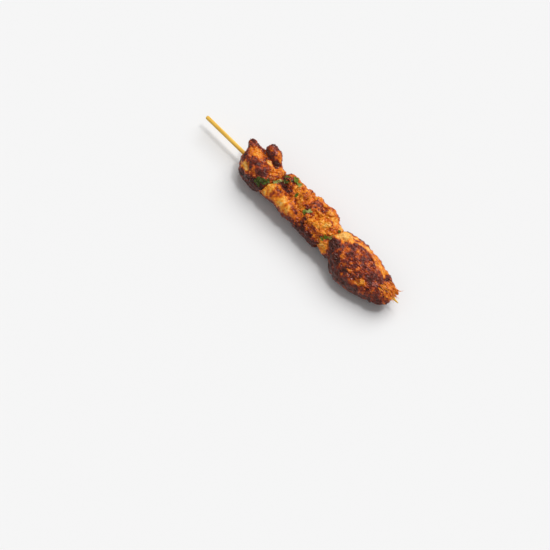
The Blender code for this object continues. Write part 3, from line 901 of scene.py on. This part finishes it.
outside = smooth_step(3.0, 9.0, all_points[:, 2]) * smooth_step(-0.3, 0.2, all_normals[:, 2])
clumps = smooth_step(-0.1, 0.5, field(all_points, 4.0, 81, 2))
on_crust = outside * smooth_step(0.45, 0.7, all_browning) * (0.3 + clumps)
on_gold = outside * (0.25 + clumps) * smooth_step(0.02, 0.2, all_browning)
charred = plain_finish("char", (0.030, 0.011, 0.008), 0.34)
spiced = plain_finish("spice", (0.330, 0.060, 0.012), 0.36)
scatter_crumbs("char_crumbs", draw_places(on_crust, CHAR_CRUMBS, 21), 0.30, 0.95, 0.5, 22, charred)
scatter_crumbs("spice_crumbs", draw_places(on_gold, SPICE_CRUMBS, 23), 0.25, 0.70, 0.5, 24, spiced)
print(CHAR_CRUMBS + SPICE_CRUMBS, "crumbs of", len(crumb_faces), "faces each")

# %% [markdown]
# ## Torn fibres
# Where meat is cut or pulled, single bundles of fibre come loose and stand up: a fringe at the tip end
# and short shreds over the rest. Each shred is a thin tapering tube that starts half sunk in the meat,
# follows the surface for a few millimetres and lifts off at its end. It carries its own browning, so
# the same meat material colours it.

# %% Torn fibres
SHRED_RINGS = 10
SHRED_CORNERS = 7
FRINGE_SHREDS = 48
PALE_SHREDS = 150
DARK_SHREDS = 90
FRINGE_BROWNING = 0.30
FIBRE_HEADING = 4.0       # degrees from the stick, the way most fibres run
shred_rows = []
rng = np.random.default_rng(31)
for _ in range(FRINGE_SHREDS):
    start = (rng.uniform(83.0, 91.0), rng.uniform(-4.0, 7.0))
    heading = rng.uniform(-14.0, 12.0)
    length = rng.uniform(5.0, 9.0)
    thick = rng.uniform(0.28, 0.6)
    shred_rows.append((start, heading, length, thick, FRINGE_BROWNING, True))


def start_shreds(places, spread, lengths, widths):
    """Short shreds that run roughly along the fibres, either way, and are as brown as the meat there."""
    for place in places:
        start = (all_points[place][0], all_points[place][1])
        heading = rng.normal(FIBRE_HEADING, spread) + (180.0 if rng.uniform() < 0.5 else 0.0)
        length = rng.uniform(*lengths)
        thick = rng.uniform(*widths)
        shred_rows.append((start, heading, length, thick, all_browning[place], False))


pale_places = draw_places(outside * smooth_step(0.6, 0.2, all_browning), PALE_SHREDS, 32)
start_shreds(pale_places, 24.0, (2.0, 5.0), (0.16, 0.34))
dark_places = draw_places(outside * smooth_step(0.4, 0.7, all_browning), DARK_SHREDS, 33)
start_shreds(dark_places, 40.0, (1.6, 4.0), (0.16, 0.32))

shred_points = []
shred_faces = []
shred_browning = []
for (x, y), heading, length, thick, brown, fringe in shred_rows:
    angle = math.radians(heading)
    bend = rng.normal(0.0, 0.5)
    step = length / SHRED_RINGS
    spine = []
    for ring in range(SHRED_RINGS):
        share = ring / (SHRED_RINGS - 1)
        x += math.cos(angle) * step
        y += math.sin(angle) * step
        angle += bend / SHRED_RINGS
        hit = surface_below(x, y)
        lost = hit is None or (spine and abs(hit.z - spine[-1].z) > 0.3 + 1.6 * step)
        if lost and not (fringe and spine):
            break
        if lost:
            hit = spine[-1] + Vector((math.cos(angle), math.sin(angle), -0.15)) * step
        else:
            hit = hit + Vector((0.0, 0.0, thick * 0.3 + 0.07 * length * (share - 0.2) ** 2))
        spine.append(hit)
    if len(spine) < SHRED_RINGS:
        continue
    first = len(shred_points)
    for ring in range(SHRED_RINGS):
        share = ring / (SHRED_RINGS - 1)
        run = (spine[min(ring + 1, SHRED_RINGS - 1)] - spine[max(ring - 1, 0)]).normalized()
        side = run.cross(Vector((0.0, 0.0, 1.0))).normalized()
        up = side.cross(run)
        belly = 0.35 + 0.65 * math.sin(math.pi * min(1.0, share + 0.25)) ** 0.7
        width = thick * belly * (1.0 - 0.75 * share ** 3)
        for corner in range(SHRED_CORNERS):
            turn = 2.0 * math.pi * corner / SHRED_CORNERS
            around = side * width * math.cos(turn) + up * width * 0.7 * math.sin(turn)
            shred_points.append(spine[ring] + around)
            shred_browning.append(brown + 0.10 * math.sin(share * 9.0 + first))
    shred_faces += [tuple(first + v for v in face) for face in tube_faces(SHRED_RINGS, SHRED_CORNERS)]

shred_mesh = mesh_from("torn_fibres", shred_points, shred_faces)
set_field(shred_mesh, "browning", np.clip(np.array(shred_browning), 0.0, 1.0))
set_field(shred_mesh, "glaze_and_crease_shade", np.zeros(len(shred_points)))
set_field(shred_mesh, "crust", np.zeros(len(shred_points)))
shred_mesh.shade_smooth()
shreds = add_piece("torn_fibres", shred_mesh, meat)
print(len(shred_points) // (SHRED_RINGS * SHRED_CORNERS), "torn fibres")

# %% [markdown]
# ## Soft studio light
# The show side is lit by one broad even light from the far side and above, so the near side falls into
# shade. A second one, weaker and narrower, puts small highlights on the wet glaze. A pale sky fills
# the rest. The floor is a plain pale sheet.

# %% Floor and light
FLOOR_SIZE = 6.0
KEY_DIRECTION = Vector((-0.05, 0.58, 0.81)).normalized()
KEY_STRENGTH = 2.10
KEY_ANGLE = math.radians(50.0)
GLINT_DIRECTION = Vector((0.25, 0.30, 0.92)).normalized()
GLINT_STRENGTH = 0.62
GLINT_ANGLE = math.radians(9.0)
SKY_STRENGTH = 0.345

bpy.ops.mesh.primitive_plane_add(size=FLOOR_SIZE)
floor = bpy.context.object
floor.name = "floor"
paper = plain_finish("pale_floor", (0.86, 0.86, 0.86), 0.9)
paper.node_tree.nodes["Principled BSDF"].inputs["Specular IOR Level"].default_value = 0.1
floor.data.materials.append(paper)

sky = bpy.data.worlds.new("studio")
sky.use_nodes = True
sky.node_tree.nodes["Background"].inputs["Color"].default_value = (1.0, 1.0, 1.0, 1.0)
sky.node_tree.nodes["Background"].inputs["Strength"].default_value = SKY_STRENGTH
bpy.context.scene.world = sky


def even_light(name, direction, strength, angle):
    lamp = bpy.data.lights.new(name, "SUN")
    lamp.energy = strength
    lamp.angle = angle
    item = bpy.data.objects.new(name, lamp)
    item.rotation_mode = "QUATERNION"
    item.rotation_quaternion = direction.to_track_quat("Z", "Y")
    bpy.context.scene.collection.objects.link(item)


even_light("key", KEY_DIRECTION, KEY_STRENGTH, KEY_ANGLE)
even_light("glint", GLINT_DIRECTION, GLINT_STRENGTH, GLINT_ANGLE)
bpy.context.scene.view_settings.view_transform = "Standard"
print("key light", KEY_STRENGTH, "glint", GLINT_STRENGTH, "sky", SKY_STRENGTH)
